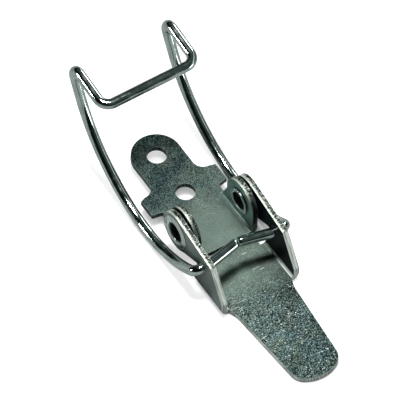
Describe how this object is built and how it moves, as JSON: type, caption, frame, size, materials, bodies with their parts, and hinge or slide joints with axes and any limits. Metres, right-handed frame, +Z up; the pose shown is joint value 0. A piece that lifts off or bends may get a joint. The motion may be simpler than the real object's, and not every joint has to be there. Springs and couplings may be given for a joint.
{
  "type": "toggle latch",
  "caption": "Sheet-steel draw latch: a screwed base plate, a channel lever pivoting on its ears, and a hooked wire bail that the lever pulls tight.",
  "frame": {"origin": "midway between the two screw holes, on the underside of the base plate", "axes": "+Z up out of the base plate, +Y from the pivot towards the hooked end of the bail, X along the pivot"},
  "size_m": [0.031, 0.099, 0.0326],
  "materials": {
    "plated_sheet": "zinc plated, blue passivated, fine matt grain",
    "plated_lever_sheet": "zinc plated, blue passivated, coarse sparkling grain",
    "plated_rivet": "zinc plated, smooth",
    "plated_wire": "zinc plated drawn wire, glossy"
  },
  "bodies": {
    "base": {"base_plate": "plated_sheet"},
    "lever": {"lever": "plated_lever_sheet", "pivot_rivet_left": "plated_rivet", "pivot_rivet_right": "plated_rivet"},
    "bail": {"wire_bail": "plated_wire"}
  },
  "joints": [
    {"name": "lever_pivot", "type": "hinge", "parent": "base", "child": "lever", "pos_m": [0, -0.02025, 0.008], "axis": [-1, 0, 0], "range_deg": [0, 190]},
    {"name": "bail_pivot", "type": "hinge", "parent": "lever", "child": "bail", "pos_m": [0, -0.03305, 0.0074], "axis": [1, 0, 0], "range_deg": [-15, 195]}
  ]
}
